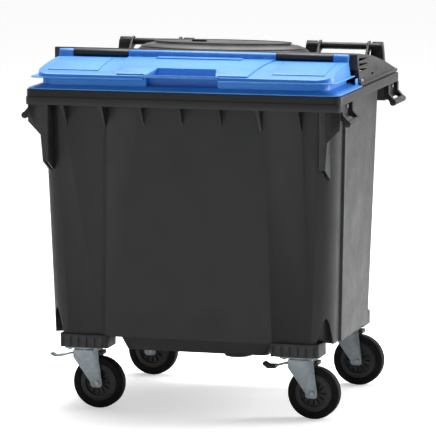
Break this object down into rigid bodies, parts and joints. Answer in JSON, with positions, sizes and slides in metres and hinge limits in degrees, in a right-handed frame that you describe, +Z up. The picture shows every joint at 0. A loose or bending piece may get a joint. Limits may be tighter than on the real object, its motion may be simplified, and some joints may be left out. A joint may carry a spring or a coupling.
{
  "type": "four-wheeled waste container",
  "caption": "Large wheeled refuse container with a deep tapered tub, a hinged domed lid, a smaller hinged lid set into its front, side grips and braked swivel castors.",
  "frame": {"origin": "on the floor, midway between the four castors", "axes": "+Z up, +X along the wide front to the right, -Y towards the front"},
  "size_m": [1.287, 0.981, 1.3826],
  "materials": {
    "tub_plastic": "fine-grained anthracite moulding",
    "lid_grey": "anthracite moulding, satin",
    "lid_blue": "signal blue moulding, semi-gloss",
    "black_plastic": "black moulding",
    "black_rubber": "matt",
    "black_steel": "powder coated",
    "galvanised_steel": "bright galvanised",
    "zinc_fasteners": "zinc plated",
    "hub_plastic": "dark grey moulding",
    "tyre_rubber": "matt solid rubber"
  },
  "bodies": {
    "tub": {"tub": "tub_plastic", "lid_buffers": "black_rubber", "plug_seal": "black_rubber", "grip_screws": "zinc_fasteners", "bracket_bolts": "zinc_fasteners", "castor_bolts": "zinc_fasteners", "kingpins": "zinc_fasteners", "side_grip_front_left": "black_plastic", "side_grip_front_right": "black_plastic", "side_grip_rear_left": "black_plastic", "side_grip_rear_right": "black_plastic", "hinge_bracket_inner_left": "black_plastic", "hinge_bracket_outer_left": "black_plastic", "hinge_bracket_inner_right": "black_plastic", "hinge_bracket_outer_right": "black_plastic", "hinge_bar_left": "black_steel", "hinge_bar_right": "black_steel", "castor_plate_front_left": "galvanised_steel", "castor_plate_front_right": "galvanised_steel", "castor_plate_rear_left": "galvanised_steel", "castor_plate_rear_right": "galvanised_steel"},
    "main_lid": {"main_lid": "lid_grey", "front_frame": "lid_blue", "frame_screws": "zinc_fasteners", "ridge_pin_left": "zinc_fasteners", "ridge_pin_right": "zinc_fasteners", "lid_stop": "black_rubber"},
    "front_lid": {"front_lid": "lid_blue"},
    "drain_plug": {"drain_plug": "black_plastic"},
    "pedal_front_left": {"brake_pedal_front_left": "galvanised_steel"},
    "fork_front_left": {"fork_front_left": "galvanised_steel", "axle_bolt_front_left": "zinc_fasteners", "wheel_bush_front_left": "zinc_fasteners", "fork_guard_front_left": "black_plastic", "pedal_pin_front_left": "zinc_fasteners"},
    "wheel_front_left": {"wheel_hub_front_left": "hub_plastic", "tyre_front_left": "tyre_rubber"},
    "pedal_front_right": {"brake_pedal_front_right": "galvanised_steel", "pedal_pad": "black_rubber"},
    "fork_front_right": {"fork_front_right": "galvanised_steel", "axle_bolt_front_right": "zinc_fasteners", "wheel_bush_front_right": "zinc_fasteners", "fork_guard_front_right": "black_plastic", "pedal_pin_front_right": "zinc_fasteners"},
    "wheel_front_right": {"wheel_hub_front_right": "hub_plastic", "tyre_front_right": "tyre_rubber"},
    "fork_rear_left": {"fork_rear_left": "galvanised_steel", "axle_bolt_rear_left": "zinc_fasteners", "wheel_bush_rear_left": "zinc_fasteners", "fork_guard_rear_left": "black_plastic"},
    "wheel_rear_left": {"wheel_hub_rear_left": "hub_plastic", "tyre_rear_left": "tyre_rubber"},
    "fork_rear_right": {"fork_rear_right": "galvanised_steel", "axle_bolt_rear_right": "zinc_fasteners", "wheel_bush_rear_right": "zinc_fasteners", "fork_guard_rear_right": "black_plastic"},
    "wheel_rear_right": {"wheel_hub_rear_right": "hub_plastic", "tyre_rear_right": "tyre_rubber"}
  },
  "joints": [
    {"name": "main_lid_hinge", "type": "hinge", "parent": "tub", "child": "main_lid", "pos_m": [0, 0.479, 1.33], "axis": [-1, 0, 0], "range_deg": [0, 270]},
    {"name": "front_lid_hinge", "type": "hinge", "parent": "main_lid", "child": "front_lid", "pos_m": [0, -0.178, 1.35], "axis": [1, 0, 0], "range_deg": [-150, 0]},
    {"name": "drain_plug_turn", "type": "hinge", "parent": "tub", "child": "drain_plug", "pos_m": [0.15, -0.23, 0.215], "axis": [0, 0, 1], "range_deg": [0, 90]},
    {"name": "swivel_front_left", "type": "hinge", "parent": "tub", "child": "fork_front_left", "pos_m": [-0.426, -0.344, 0.22], "axis": [0, 0, 1], "continuous": true},
    {"name": "wheel_spin_front_left", "type": "hinge", "parent": "fork_front_left", "child": "wheel_front_left", "pos_m": [-0.372, -0.344, 0.1], "axis": [0, 1, 0], "continuous": true},
    {"name": "brake_pedal_front_left", "type": "hinge", "parent": "fork_front_left", "child": "pedal_front_left", "pos_m": [-0.452, -0.344, 0.208], "axis": [0, -1, 0], "range_deg": [0, 12]},
    {"name": "swivel_front_right", "type": "hinge", "parent": "tub", "child": "fork_front_right", "pos_m": [0.426, -0.344, 0.22], "axis": [0, 0, 1], "continuous": true},
    {"name": "wheel_spin_front_right", "type": "hinge", "parent": "fork_front_right", "child": "wheel_front_right", "pos_m": [0.48, -0.344, 0.1], "axis": [0, 1, 0], "continuous": true},
    {"name": "brake_pedal_front_right", "type": "hinge", "parent": "fork_front_right", "child": "pedal_front_right", "pos_m": [0.4, -0.344, 0.208], "axis": [0, -1, 0], "range_deg": [0, 12]},
    {"name": "swivel_rear_left", "type": "hinge", "parent": "tub", "child": "fork_rear_left", "pos_m": [-0.426, 0.344, 0.22], "axis": [0, 0, 1], "continuous": true},
    {"name": "wheel_spin_rear_left", "type": "hinge", "parent": "fork_rear_left", "child": "wheel_rear_left", "pos_m": [-0.372, 0.344, 0.1], "axis": [0, 1, 0], "continuous": true},
    {"name": "swivel_rear_right", "type": "hinge", "parent": "tub", "child": "fork_rear_right", "pos_m": [0.426, 0.344, 0.22], "axis": [0, 0, 1], "continuous": true},
    {"name": "wheel_spin_rear_right", "type": "hinge", "parent": "fork_rear_right", "child": "wheel_rear_right", "pos_m": [0.48, 0.344, 0.1], "axis": [0, 1, 0], "continuous": true}
  ]
}
